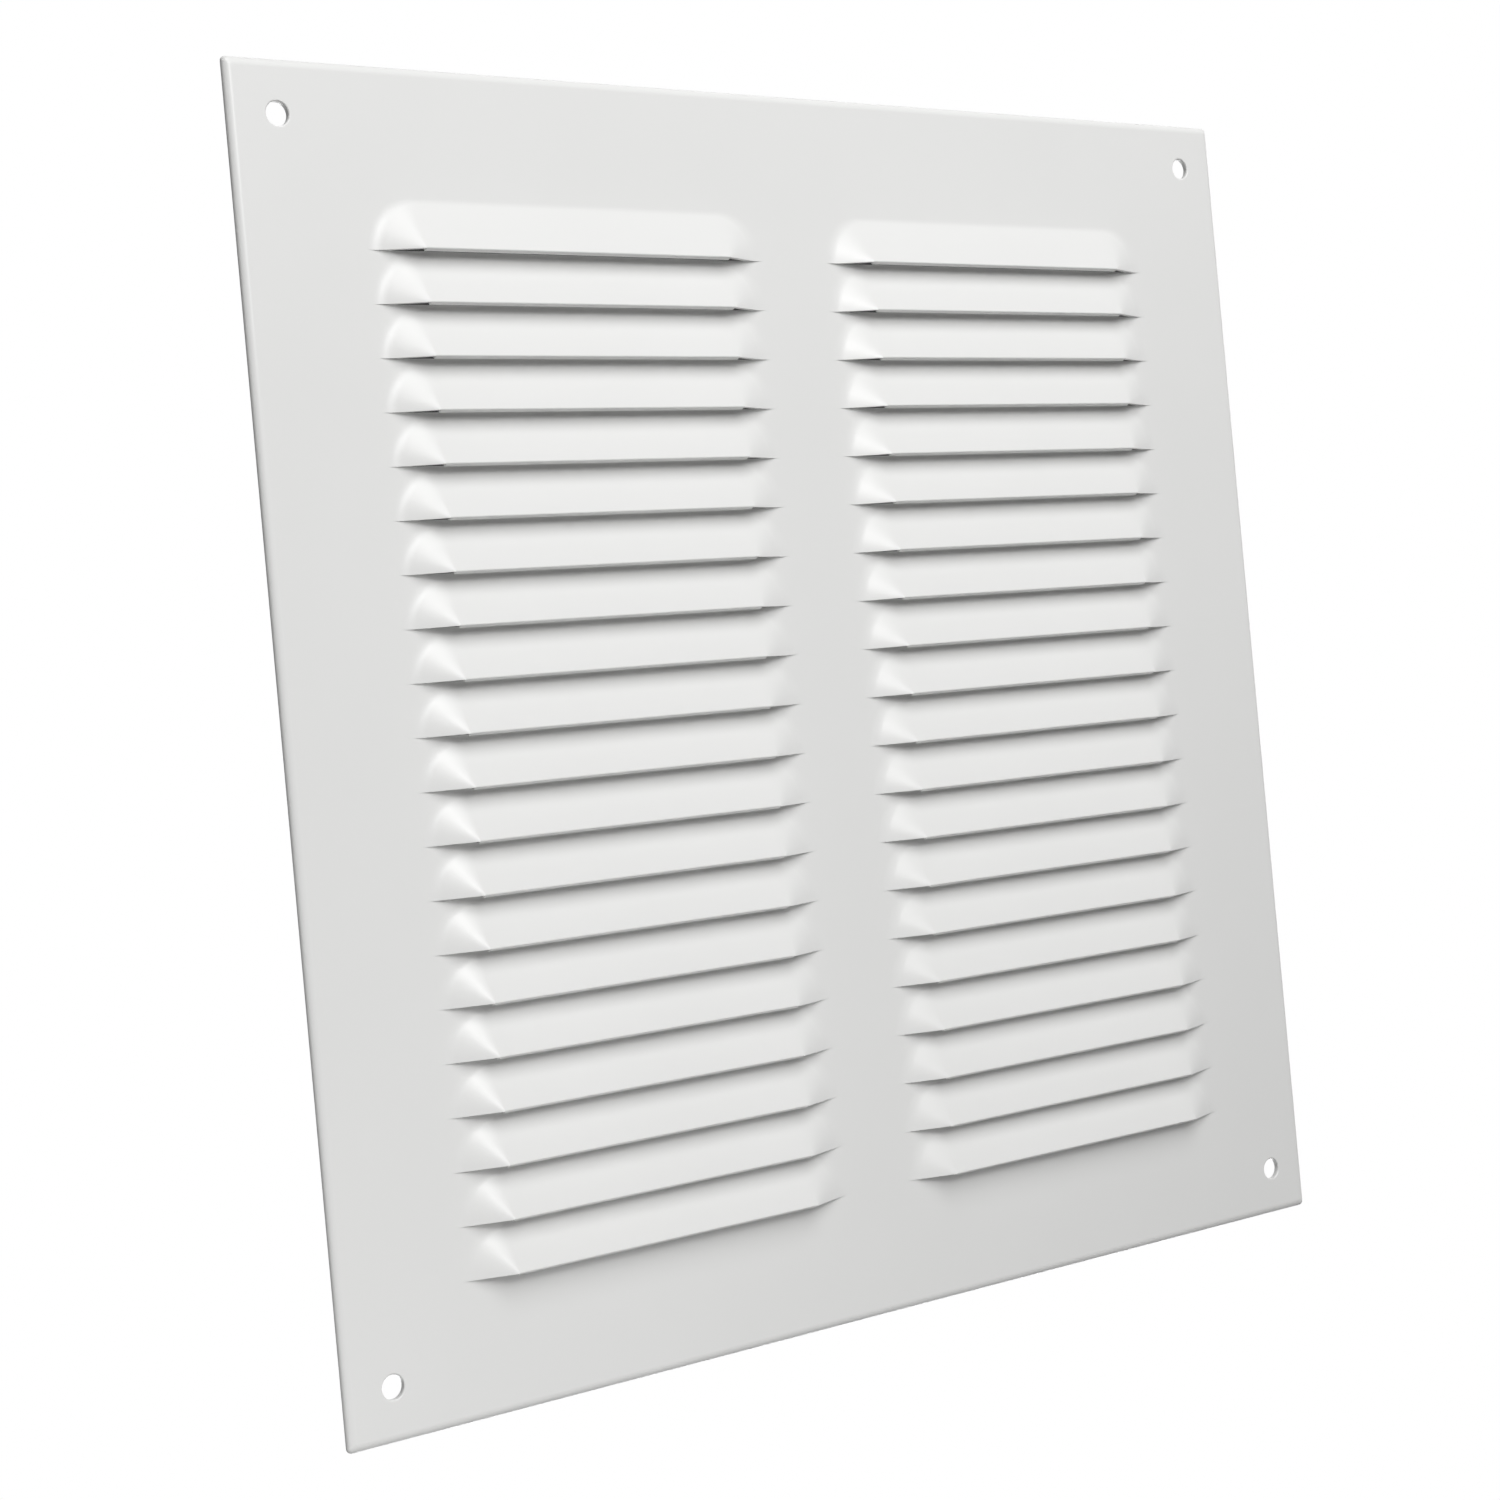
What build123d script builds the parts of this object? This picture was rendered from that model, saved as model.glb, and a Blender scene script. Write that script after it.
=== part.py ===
from build123d import *
from math import cos, floor, radians, sin
import os

# A square ventilation plate pressed from one sheet of painted aluminium.
# Two columns of louvres are lanced and pushed out of the sheet, and each opens downwards.
# Frame: +Z up, the front faces -Y, and the origin is the centre of the flat back face.
# All sizes are in millimetres and degrees.

# Plate
plate_width = 250.0
plate_height = 250.0
sheet_thickness = 1.2
plate_corner_radius = 1.0
front_edge_radius = 0.9

# Screw holes, one near each corner
hole_diameter = 4.5
hole_inset = 10.0
hole_rim_chamfer = 0.35

# Louvre field: two columns of rows that fill the plate between these margins
top_margin = 34.25
bottom_margin = 25.0
side_margin = 26.6
middle_land = 17.6

# One louvre: the pitch, the lean of its face, the bend at its foot and the strip left above the bend
# Its lip is cut level with the slit, and turns into the ends with a small radius.
louvre_pitch = 10.0
louvre_angle = 20.8
bend_radius = 3.0
slit_land = 0.15
lip_corner_radius = 0.2

# Flat facets that make up the quarter-round end of a louvre
end_facets = 4

# A rounded or bevelled edge takes at most this share of the sheet
largest_edge_share = 0.8

# Values worked out from the sizes above
# Heights of one louvre are counted from the level that its ends turn about, just below the lip.
lean_sin = sin(radians(louvre_angle))
lean_cos = cos(radians(louvre_angle))
front_level = -sheet_thickness
face_height = louvre_pitch - slit_land
foot_radius = face_height + lip_corner_radius
lip_rise = bend_radius + (face_height * lean_sin - bend_radius) / lean_cos
column_width = (plate_width - 2 * side_margin - middle_land) / 2
half_lip = column_width / 2 - foot_radius
louvre_rows = 1 + floor((plate_height - top_margin - bottom_margin) / louvre_pitch)


def fold_line(end_height):
    """Line of the fold round one louvre: up its left end, along its top and down its right end."""
    facet_turn = 90 / end_facets
    corner_radius = foot_radius / cos(radians(facet_turn / 2))
    corner_angles = [radians(facet_turn * (step + 0.5)) for step in reversed(range(end_facets))]
    left_end = [(-half_lip - foot_radius, end_height)]
    left_end += [(-half_lip - corner_radius * sin(turn), corner_radius * cos(turn)) for turn in corner_angles]
    right_end = [(-across, up) for across, up in reversed(left_end)]
    return left_end + right_end


def louvre_section():
    """Section of the bent sheet from the cut edge of the lip to the foot, where the left end starts."""
    outer_lip = (front_level - lip_rise, lip_corner_radius)
    inner_lip = (outer_lip[0] + sheet_thickness / lean_cos, lip_corner_radius)
    bend_centre = (front_level - bend_radius, foot_radius)
    back_radius = bend_radius + sheet_thickness
    outer_bend = (bend_centre[0] + bend_radius * lean_cos, bend_centre[1] - bend_radius * lean_sin)
    inner_bend = (bend_centre[0] + back_radius * lean_cos, bend_centre[1] - back_radius * lean_sin)
    lip = Line(inner_lip, outer_lip)
    outer_face = Line(outer_lip, outer_bend)
    outer_arc = TangentArc(outer_bend, (front_level, foot_radius), tangent=outer_face % 1)
    foot = Line((front_level, foot_radius), (0, foot_radius))
    inner_face = Line(inner_lip, inner_bend)
    inner_arc = TangentArc(inner_bend, (0, foot_radius), tangent=inner_face % 1)
    outline = lip + outer_face + outer_arc + foot + inner_arc + inner_face
    left_tip = Plane(origin=(-half_lip, 0, 0), x_dir=(0, 1, 0), z_dir=(0, 0, 1))
    return make_face(left_tip * outline)


def louvre():
    """One louvre, its section carried round the fold line with mitred corners."""
    path = Plane.XZ * Polyline(*fold_line(0))
    return sweep(louvre_section(), path=path, transition=Transition.RIGHT)


def window():
    """Piece of the flat sheet that one louvre takes the place of, from its slit up to its foot."""
    outline = Plane.XZ * Polyline(*fold_line(lip_corner_radius), close=True)
    return extrude(make_face(outline), sheet_thickness, dir=(0, -1, 0))


def louvre_places():
    """Middle of each louvre, at the level that its ends turn about."""
    first_height = plate_height / 2 - top_margin - lip_corner_radius
    column_centre = (middle_land + column_width) / 2
    return [
        Pos(side * column_centre, 0, first_height - louvre_pitch * row)
        for side in (-1, 1)
        for row in range(louvre_rows)
    ]


def hole_places():
    """Centre of each screw hole."""
    across = plate_width / 2 - hole_inset
    up = plate_height / 2 - hole_inset
    return [Pos(side * across, 0, end * up) for side in (-1, 1) for end in (-1, 1)]


def flat_sheet():
    """Flat sheet with rounded front edges and the four screw holes."""
    largest_edge = largest_edge_share * sheet_thickness
    outline = Plane.XZ * RectangleRounded(plate_width, plate_height, plate_corner_radius)
    sheet = extrude(outline, sheet_thickness)
    front_rim = sheet.faces().sort_by(Axis.Y)[0].edges()
    sheet = fillet(front_rim, min(front_edge_radius, largest_edge))
    hole = Rot(90, 0, 0) * Cylinder(hole_diameter / 2, 3 * sheet_thickness)
    sheet = sheet - [place * hole for place in hole_places()]
    front_face = sheet.faces().filter_by(Axis.Y).sort_by(Axis.Y)[0]
    hole_rims = [edge for rim in front_face.inner_wires() for edge in rim.edges()]
    return chamfer(hole_rims, min(hole_rim_chamfer, largest_edge))


def louvre_plate():
    """The whole pressing as one solid."""
    one_window = window()
    one_louvre = louvre()
    pierced = flat_sheet() - [place * one_window for place in louvre_places()]
    return pierced + [place * one_louvre for place in louvre_places()]


os.makedirs("parts", exist_ok=True)
plate = louvre_plate()
print("louvre_plate solids", len(plate.solids()), "volume", plate.volume)
print("lip rise", lip_rise, "lip length", 2 * half_lip, "rows", louvre_rows)
export_step(plate, "parts/louvre_plate.step")
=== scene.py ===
from math import acos, atan2, cos, hypot, pi, radians, sin, tan

import bmesh
import bpy
from mathutils import Matrix, Vector


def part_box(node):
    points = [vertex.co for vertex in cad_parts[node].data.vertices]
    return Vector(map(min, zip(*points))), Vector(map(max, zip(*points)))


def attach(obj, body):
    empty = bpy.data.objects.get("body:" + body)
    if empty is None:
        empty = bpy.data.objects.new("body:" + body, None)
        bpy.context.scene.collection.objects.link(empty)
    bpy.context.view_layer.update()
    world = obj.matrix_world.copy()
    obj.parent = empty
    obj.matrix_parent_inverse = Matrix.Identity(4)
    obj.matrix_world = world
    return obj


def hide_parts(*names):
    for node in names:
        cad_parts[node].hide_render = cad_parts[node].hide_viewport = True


# Looks of a square louvre plate: one painted sheet with rounded edges, in a plain white studio.
# Lengths are in metres in the part's own frame: +Z up, the front towards -Y, the flat back at y = 0.

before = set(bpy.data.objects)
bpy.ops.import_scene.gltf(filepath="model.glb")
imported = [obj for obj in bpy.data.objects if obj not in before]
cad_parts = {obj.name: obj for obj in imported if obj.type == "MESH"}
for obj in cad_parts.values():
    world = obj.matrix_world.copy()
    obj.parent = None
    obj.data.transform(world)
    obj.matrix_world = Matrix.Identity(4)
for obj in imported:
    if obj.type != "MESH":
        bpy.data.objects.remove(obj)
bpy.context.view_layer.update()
plate_low, plate_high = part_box("louvre_plate")
millimetre = 0.001

# Flat sheet
half_width = plate_high.x
half_height = plate_high.z
sheet_thickness = 1.2 * millimetre
front = -sheet_thickness
plate_corner_radius = 1.0 * millimetre

# Outer edge: rolled over at the front, where the corners also get tighter, and nearly sharp at the back
front_edge_width = 1.7 * millimetre
front_edge_drop = 1.05 * millimetre
back_edge_radius = 0.12 * millimetre
corner_tightening = 0.8

# Screw holes
hole_radius = 2.25 * millimetre
hole_inset = 10.0 * millimetre
hole_rim_radius = 0.35 * millimetre

# Louvres
louvre_rows = 20
louvre_pitch = 10.0 * millimetre
top_margin = 34.25 * millimetre
side_margin = 26.6 * millimetre
middle_land = 17.6 * millimetre
lip_rise = 3.53 * millimetre
slit_land = 0.15 * millimetre
bend_radius = 3.0 * millimetre

# Round ends of a louvre: they bend more softly at the foot than its top does, and reach a little further
end_bend_radius = 9.0 * millimetre
end_reach_more = 0.9 * millimetre

# Paint rounds the two edges of a louvre's cut lip
outer_lip_round = 0.28 * millimetre
inner_lip_round = 0.12 * millimetre

# Steps of the rounded forms, the sharpest bend that is shaded smooth and the play in what counts as flat
end_steps = 12
bend_steps = 6
edge_steps = 4
corner_steps = 6
hole_steps = 40
smooth_limit = radians(35)
flat_play = 0.001 * millimetre

# Paint: a white that varies slightly, its sheen and the fine orange peel of its surface
paint_dark = (0.785, 0.786, 0.776, 1)
paint_light = (0.815, 0.815, 0.806, 1)
paint_specular = 0.29
paint_roughness_low = 0.27
paint_roughness_high = 0.32
mottle_scale = 25.0
mottle_detail = 3.0
peel_scale = 900.0
peel_detail = 2.0
peel_strength = 0.12
peel_depth = 0.03 * millimetre

# Camera, solved from the corners and louvres of the plate in the photograph
picture_size = 1500
focal_length = 2809.25
picture_centre = (766.07, 704.29)
camera_place = (-0.35761, -0.45084, 0.00016)
camera_yaw = radians(37.109)
camera_pitch = radians(0.114)
camera_roll = radians(5.212)
sensor_width = 36.0
nearest_seen = 0.01

# Studio: a white floor, and a dark card behind the slits, painted shade in place of the space behind them,
# that leaves the screw holes clear
white = (1, 1, 1, 1)
floor_drop = 1.2
floor_radius = 1.6
floor_grey = (0.6, 0.6, 0.6, 1)
floor_glow_middle = 0.85
floor_glow_rim = 1.0
card_gap = 0.3 * millimetre
card_margin = 15 * millimetre
# Painted shade: the dark grey the card shows through the slits
painted_shade_grey = (0.05, 0.05, 0.05, 1)
card_corners = ((-1, -1), (1, -1), (1, 1), (-1, 1))

# Values worked out from the sizes above
face_height = louvre_pitch - slit_land
column_width = half_width - side_margin - middle_land / 2
column_centre = (middle_land + column_width) / 2
half_lip = column_width / 2 - face_height


def rounded_corner(before, corner, after, radius, steps):
    """Points of the arc that rounds one corner of an outline."""
    to_before = (before - corner).normalized()
    to_after = (after - corner).normalized()
    half_angle = to_before.angle(to_after) / 2
    centre = corner + (to_before + to_after).normalized() * radius / sin(half_angle)
    start = corner + to_before * radius / tan(half_angle) - centre
    end = corner + to_after * radius / tan(half_angle) - centre
    arc = pi - 2 * half_angle
    points = []
    for step in range(steps + 1):
        share = step / steps
        points.append(centre + (start * sin(arc * (1 - share)) + end * sin(arc * share)) / sin(arc))
    return points


def louvre_section(bend, foot_reach):
    """Points round the bent sheet from its front foot over the lip to its back foot, as (depth, reach).

    Reach is counted up the louvre's face from the slit, and outwards round its ends. The second value is
    the index of the point where the back of the louvre crosses the front of the sheet.
    """
    bend_rise = bend - lip_rise
    lean = atan2(foot_reach, bend_rise) - acos(bend / hypot(foot_reach, bend_rise))
    back_bend = bend + sheet_thickness
    front_foot = Vector((front, foot_reach))
    front_corner = Vector((front, foot_reach - bend * tan(lean / 2)))
    outer_lip = Vector((front - lip_rise, 0))
    inner_lip = outer_lip + sheet_thickness * Vector((cos(lean), -sin(lean)))
    back_corner = Vector((0, foot_reach - back_bend * tan(lean / 2)))
    back_foot = Vector((0, foot_reach))
    points = rounded_corner(front_foot, front_corner, outer_lip, bend, bend_steps)
    points += rounded_corner(front_corner, outer_lip, inner_lip, outer_lip_round, edge_steps)
    points += rounded_corner(outer_lip, inner_lip, back_corner, inner_lip_round, edge_steps)
    crossing = len(points)
    points.append(inner_lip.lerp(back_corner, (front - inner_lip.x) / (back_corner.x - inner_lip.x)))
    points += rounded_corner(inner_lip, back_corner, back_foot, back_bend, bend_steps)
    return points, crossing


def add_strip(mesh, near, far):
    """Faces between two rows of vertices."""
    for side in range(len(near) - 1):
        mesh.faces.new((near[side], near[side + 1], far[side + 1], far[side]))


def add_louvre(mesh, centre, slit):
    """One louvre: its bent sheet carried round the left end, along the top and round the right end."""
    rings = []
    for side, steps in ((-1, range(end_steps, -1, -1)), (1, range(end_steps + 1))):
        for step in steps:
            turn = radians(90) * step / end_steps
            bend = bend_radius + (end_bend_radius - bend_radius) * sin(turn)
            points, crossing = louvre_section(bend, face_height + end_reach_more * sin(turn))
            ring = []
            for depth, reach in points:
                across = side * (half_lip + max(reach, 0) * sin(turn))
                ring.append(mesh.verts.new((centre + across, depth, slit + reach * cos(turn))))
            rings.append(ring)
    for near, far in zip(rings, rings[1:]):
        add_strip(mesh, near, far)
    left_tip, right_tip = rings[0], rings[-1]
    mesh.faces.new(left_tip[: crossing + 1])
    mesh.faces.new(right_tip[: crossing + 1])
    mesh.faces.new(left_tip[crossing:] + right_tip[crossing:][::-1])


def add_closed_strips(mesh, rings):
    """Faces between closed rings of vertices, each ring joined to the next."""
    for near, far in zip(rings, rings[1:]):
        add_strip(mesh, near + near[:1], far + far[:1])


def edge_profile(front_width, front_drop):
    """The edge of the sheet from its back to its front, as (inset, depth), rounded over at both."""
    turns = [radians(90) * step / corner_steps for step in range(corner_steps + 1)]
    back_arc = [(back_edge_radius * (1 - cos(turn)), back_edge_radius * (sin(turn) - 1)) for turn in turns]
    front_arc = [(front_width * (1 - cos(turn)), front + front_drop * (1 - sin(turn))) for turn in turns]
    return back_arc[::-1] + front_arc


def add_outline(mesh):
    """The outer edge of the plate."""
    rings = []
    for inset, depth in edge_profile(front_edge_width, front_edge_drop):
        radius = plate_corner_radius * (1 - corner_tightening * inset / front_edge_width)
        ring = []
        for corner, (side, end) in enumerate(((1, 1), (-1, 1), (-1, -1), (1, -1))):
            for step in range(corner_steps + 1):
                turn = radians(90) * (corner + step / corner_steps)
                x = side * (half_width - inset - radius) + radius * cos(turn)
                z = end * (half_height - inset - radius) + radius * sin(turn)
                ring.append(mesh.verts.new((x, depth, z)))
        rings.append(ring)
    add_closed_strips(mesh, rings)


def add_hole(mesh, centre, height):
    """The wall of one screw hole."""
    rings = []
    for inset, depth in edge_profile(hole_rim_radius, hole_rim_radius):
        radius = hole_radius + inset
        ring = []
        for step in range(hole_steps):
            turn = 2 * pi * step / hole_steps
            x = centre + radius * cos(turn)
            z = height + radius * sin(turn)
            ring.append(mesh.verts.new((x, depth, z)))
        rings.append(ring)
    add_closed_strips(mesh, rings)


def fill_flat(mesh, depth, outward):
    """The flat side of the sheet at one depth, between the outline, the holes and the louvres."""
    rim = [
        edge
        for edge in mesh.edges
        if edge.is_boundary and all(abs(end.co.y - depth) < flat_play for end in edge.verts)
    ]
    bmesh.ops.triangle_fill(mesh, edges=rim, use_beauty=True, use_dissolve=False, normal=outward)


def pressed_plate():
    """The whole pressing as one closed mesh, in place of the plain CAD solid."""
    mesh = bmesh.new()
    add_outline(mesh)
    for side in (-1, 1):
        for end in (-1, 1):
            add_hole(mesh, side * (half_width - hole_inset), end * (half_height - hole_inset))
        for row in range(louvre_rows):
            slit = half_height - top_margin - louvre_pitch * row
            add_louvre(mesh, side * column_centre, slit)
    fill_flat(mesh, front, (0, -1, 0))
    fill_flat(mesh, 0, (0, 1, 0))
    bmesh.ops.recalc_face_normals(mesh, faces=mesh.faces)
    for face in mesh.faces:
        face.smooth = True
    for edge in mesh.edges:
        edge.smooth = edge.calc_face_angle(0) < smooth_limit
    data = bpy.data.meshes.new("pressed_plate")
    mesh.to_mesh(data)
    mesh.free()
    plate = bpy.data.objects.new("pressed_plate", data)
    bpy.context.scene.collection.objects.link(plate)
    flat_first = plate.modifiers.new("flat_faces_first", "WEIGHTED_NORMAL")
    flat_first.keep_sharp = True
    return plate


def add_node(tree, kind, **values):
    """A node with some of its inputs set by name."""
    node = tree.nodes.new(kind)
    for name, value in values.items():
        node.inputs[name.replace("_", " ")].default_value = value
    return node


def white_paint():
    """Satin white powder coat: a fine orange peel, faint mottling and a slightly uneven sheen."""
    material = bpy.data.materials.new("white_paint")
    material.use_nodes = True
    tree = material.node_tree
    shader = tree.nodes["Principled BSDF"]
    shader.inputs["Specular IOR Level"].default_value = paint_specular
    place = add_node(tree, "ShaderNodeTexCoord").outputs["Object"]
    mottle = add_node(tree, "ShaderNodeTexNoise", Scale=mottle_scale, Detail=mottle_detail)
    peel = add_node(tree, "ShaderNodeTexNoise", Scale=peel_scale, Detail=peel_detail)
    tint = add_node(tree, "ShaderNodeValToRGB")
    tint.color_ramp.elements[0].color = paint_dark
    tint.color_ramp.elements[1].color = paint_light
    sheen = add_node(tree, "ShaderNodeMapRange", To_Min=paint_roughness_low, To_Max=paint_roughness_high)
    bump = add_node(tree, "ShaderNodeBump", Strength=peel_strength, Distance=peel_depth)
    for noise in (mottle, peel):
        tree.links.new(place, noise.inputs["Vector"])
    tree.links.new(mottle.outputs["Fac"], tint.inputs["Fac"])
    tree.links.new(tint.outputs["Color"], shader.inputs["Base Color"])
    tree.links.new(peel.outputs["Fac"], sheen.inputs["Value"])
    tree.links.new(sheen.outputs["Result"], shader.inputs["Roughness"])
    tree.links.new(peel.outputs["Fac"], bump.inputs["Height"])
    tree.links.new(bump.outputs["Normal"], shader.inputs["Normal"])
    return material


def seen_directly(tree):
    """1 for rays that show the studio, straight or mirrored or through glass, and 0 for its light."""
    path = add_node(tree, "ShaderNodeLightPath")
    either = add_node(tree, "ShaderNodeMath")
    either.operation = "MAXIMUM"
    seen = add_node(tree, "ShaderNodeMath")
    seen.operation = "MAXIMUM"
    tree.links.new(path.outputs["Is Camera Ray"], either.inputs[0])
    tree.links.new(path.outputs["Is Glossy Ray"], either.inputs[1])
    tree.links.new(either.outputs[0], seen.inputs[0])
    tree.links.new(path.outputs["Is Transmission Ray"], seen.inputs[1])
    return seen.outputs[0]


def flat_card(name, corners):
    """A flat stage card that isn't part of the object."""
    data = bpy.data.meshes.new(name)
    data.from_pydata(corners, [], [range(len(corners))])
    card = bpy.data.objects.new(name, data)
    bpy.context.scene.collection.objects.link(card)
    return card


def white_floor():
    """A white floor well below the plate. It keeps a soft shadow and fades into the white surround."""
    height = plate_low.z - floor_drop
    corners = [(side * floor_radius, end * floor_radius, height) for side, end in card_corners]
    floor = flat_card("floor", corners)
    material = bpy.data.materials.new("floor_white")
    material.use_nodes = True
    tree = material.node_tree
    tree.nodes.clear()
    output = add_node(tree, "ShaderNodeOutputMaterial")
    place = add_node(tree, "ShaderNodeTexCoord")
    level = add_node(tree, "ShaderNodeMapping", Scale=(1, 1, 0))
    distance = add_node(tree, "ShaderNodeVectorMath")
    distance.operation = "LENGTH"
    fade = add_node(tree, "ShaderNodeMapRange", From_Max=floor_radius)
    fade.inputs["To Min"].default_value = floor_glow_middle
    fade.inputs["To Max"].default_value = floor_glow_rim
    lit = add_node(tree, "ShaderNodeBsdfDiffuse", Color=floor_grey)
    glow = add_node(tree, "ShaderNodeEmission", Color=white)
    shown = add_node(tree, "ShaderNodeAddShader")
    mix = add_node(tree, "ShaderNodeMixShader")
    tree.links.new(place.outputs["Object"], level.inputs["Vector"])
    tree.links.new(level.outputs["Vector"], distance.inputs[0])
    tree.links.new(distance.outputs["Value"], fade.inputs["Value"])
    tree.links.new(fade.outputs["Result"], glow.inputs["Strength"])
    tree.links.new(lit.outputs[0], shown.inputs[0])
    tree.links.new(glow.outputs[0], shown.inputs[1])
    tree.links.new(seen_directly(tree), mix.inputs["Fac"])
    tree.links.new(lit.outputs[0], mix.inputs[1])
    tree.links.new(shown.outputs[0], mix.inputs[2])
    tree.links.new(mix.outputs[0], output.inputs["Surface"])
    floor.data.materials.append(material)


def painted_slit_shade():
    """Painted shade behind the slits: a dark card seen from the front only, which gives and takes no
    light.
    """
    across = half_width - card_margin
    up = half_height - card_margin
    corners = [(side * across, card_gap, end * up) for side, end in card_corners]
    card = flat_card("painted_slit_shade", corners)
    material = bpy.data.materials.new("painted_shade_material")
    material.use_nodes = True
    tree = material.node_tree
    tree.nodes.clear()
    output = add_node(tree, "ShaderNodeOutputMaterial")
    clear = add_node(tree, "ShaderNodeBsdfTransparent")
    dark = add_node(tree, "ShaderNodeEmission", Color=painted_shade_grey, Strength=1.0)
    path = add_node(tree, "ShaderNodeLightPath")
    side = add_node(tree, "ShaderNodeNewGeometry")
    front_only = add_node(tree, "ShaderNodeMath")
    front_only.operation = "SUBTRACT"
    front_only.use_clamp = True
    mix = add_node(tree, "ShaderNodeMixShader")
    tree.links.new(path.outputs["Is Camera Ray"], front_only.inputs[0])
    tree.links.new(side.outputs["Backfacing"], front_only.inputs[1])
    tree.links.new(front_only.outputs[0], mix.inputs["Fac"])
    tree.links.new(clear.outputs[0], mix.inputs[1])
    tree.links.new(dark.outputs[0], mix.inputs[2])
    tree.links.new(mix.outputs[0], output.inputs["Surface"])
    card.data.materials.append(material)


def white_world(fill_strength):
    """White where it is seen, and a dim even fill as light."""
    world = bpy.data.worlds.new("studio")
    bpy.context.scene.world = world
    world.use_nodes = True
    tree = world.node_tree
    tree.nodes.clear()
    output = add_node(tree, "ShaderNodeOutputWorld")
    shown = add_node(tree, "ShaderNodeBackground", Color=white, Strength=1.0)
    fill = add_node(tree, "ShaderNodeBackground", Color=white, Strength=fill_strength)
    mix = add_node(tree, "ShaderNodeMixShader")
    tree.links.new(seen_directly(tree), mix.inputs["Fac"])
    tree.links.new(fill.outputs[0], mix.inputs[1])
    tree.links.new(shown.outputs[0], mix.inputs[2])
    tree.links.new(mix.outputs[0], output.inputs["Surface"])


def soft_lamp(name, azimuth, elevation, distance, width, height, power):
    """A soft box aimed at the middle of the plate.

    Azimuth 0 is straight in front and grows to the right, and elevation is counted up from level.
    """
    turn, lift = radians(azimuth), radians(elevation)
    data = bpy.data.lights.new(name, "AREA")
    data.shape = "RECTANGLE"
    data.size = width
    data.size_y = height
    data.energy = power
    lamp = bpy.data.objects.new(name, data)
    lamp.location = distance * Vector((sin(turn) * cos(lift), -cos(turn) * cos(lift), sin(lift)))
    lamp.rotation_euler = (-lamp.location).to_track_quat("-Z", "Y").to_euler()
    bpy.context.scene.collection.objects.link(lamp)


def photo_camera():
    """The photograph's view of the plate."""
    data = bpy.data.cameras.new("camera")
    data.sensor_width = sensor_width
    data.lens = focal_length / picture_size * sensor_width
    data.shift_x = 0.5 - picture_centre[0] / picture_size
    data.shift_y = picture_centre[1] / picture_size - 0.5
    data.clip_start = nearest_seen
    camera = bpy.data.objects.new("camera", data)
    turn = Matrix.Rotation(-camera_yaw, 4, "Z")
    lift = Matrix.Rotation(radians(90) + camera_pitch, 4, "X")
    roll = Matrix.Rotation(-camera_roll, 4, "Z")
    camera.matrix_world = Matrix.Translation(camera_place) @ turn @ lift @ roll
    bpy.context.scene.collection.objects.link(camera)
    bpy.context.scene.camera = camera


plate = pressed_plate()
plate.data.materials.append(white_paint())
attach(plate, "root")
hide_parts("louvre_plate")

white_floor()
# Painted shade: a dark card behind the slits, seen only by the camera
painted_slit_shade()
white_world(fill_strength=0.01)

# Three lamps light the front, and two behind the plate and below it light the back
soft_lamp("key_lamp", azimuth=0, elevation=45, distance=1.1, width=0.6, height=0.9, power=10.2)
soft_lamp("strip_lamp", azimuth=2, elevation=22, distance=1.1, width=0.06, height=0.4, power=3.0)
soft_lamp("table_lamp", azimuth=-46, elevation=-41, distance=0.42, width=0.2, height=0.2, power=0.33)
soft_lamp("back_right_lamp", azimuth=140, elevation=-30, distance=1.3, width=0.6, height=0.6, power=3.8)
soft_lamp("back_lamp", azimuth=180, elevation=-30, distance=1.3, width=0.6, height=0.6, power=3.8)
photo_camera()
bpy.context.scene.view_settings.view_transform = "Standard"
